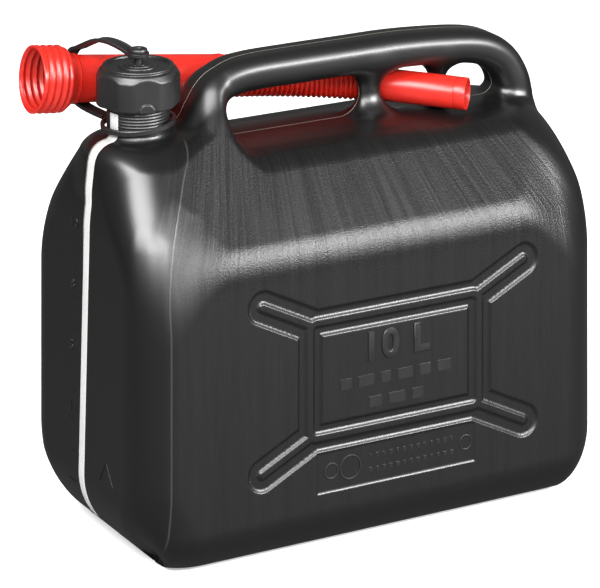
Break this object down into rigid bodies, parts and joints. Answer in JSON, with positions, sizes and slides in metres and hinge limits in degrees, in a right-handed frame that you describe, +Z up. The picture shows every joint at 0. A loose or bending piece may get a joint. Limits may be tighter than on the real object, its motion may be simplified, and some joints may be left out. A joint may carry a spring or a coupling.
{
  "type": "jerry can",
  "caption": "Upright blow-moulded jerry can with an integral carry handle, a sight stripe, a tethered screw cap and a bendable pouring spout stowed beside the handle.",
  "frame": {"origin": "centre of the flat underside of the can", "axes": "+Z up, X along the can's length with the neck at -X, -Y towards the front"},
  "size_m": [0.3447, 0.166, 0.3046],
  "materials": {
    "black_polyethylene": "lightly grained black blow-moulded polyethylene",
    "sight_stripe": "translucent white polyethylene",
    "seal_rubber": "matt rubber",
    "red_polyethylene": "smooth satin red polyethylene"
  },
  "bodies": {
    "can": {"can_body": "black_polyethylene", "level_stripe": "sight_stripe", "tether_strap": "black_polyethylene"},
    "cap_stud": {"tether_stud": "black_polyethylene"},
    "cap": {"cap": "black_polyethylene", "cap_seal": "seal_rubber"},
    "spout_base": {"spout_collar": "red_polyethylene", "spout_tube": "red_polyethylene", "spout_bellows": "red_polyethylene"},
    "spout_end": {"spout_tip": "red_polyethylene"}
  },
  "joints": [
    {"name": "cap_rise", "type": "slide", "parent": "can", "child": "cap_stud", "axis": [0, 0, 1], "range_m": [0, 0.0101], "deforming": ["tether_strap"]},
    {"name": "cap_turn", "type": "hinge", "parent": "cap_stud", "child": "cap", "pos_m": [-0.1276, 0, 0.28], "axis": [0, 0, 1], "range_deg": [0, 720]},
    {"name": "spout_draw", "type": "slide", "parent": "can", "child": "spout_base", "axis": [-0.9934, 0.0382, 0.108], "range_m": [0, 0.065]},
    {"name": "tip_draw", "type": "slide", "parent": "spout_base", "child": "spout_end", "axis": [0.3801, 0.9207, -0.089], "range_m": [0, 0.0463], "deforming": ["spout_bellows"]}
  ],
  "couplings": [
    {"joint": "cap_rise", "follows": "cap_turn", "m_per_rad": 0.00079577},
    {"joint": "tip_draw", "follows": "spout_draw", "ratio": 0.70407}
  ]
}
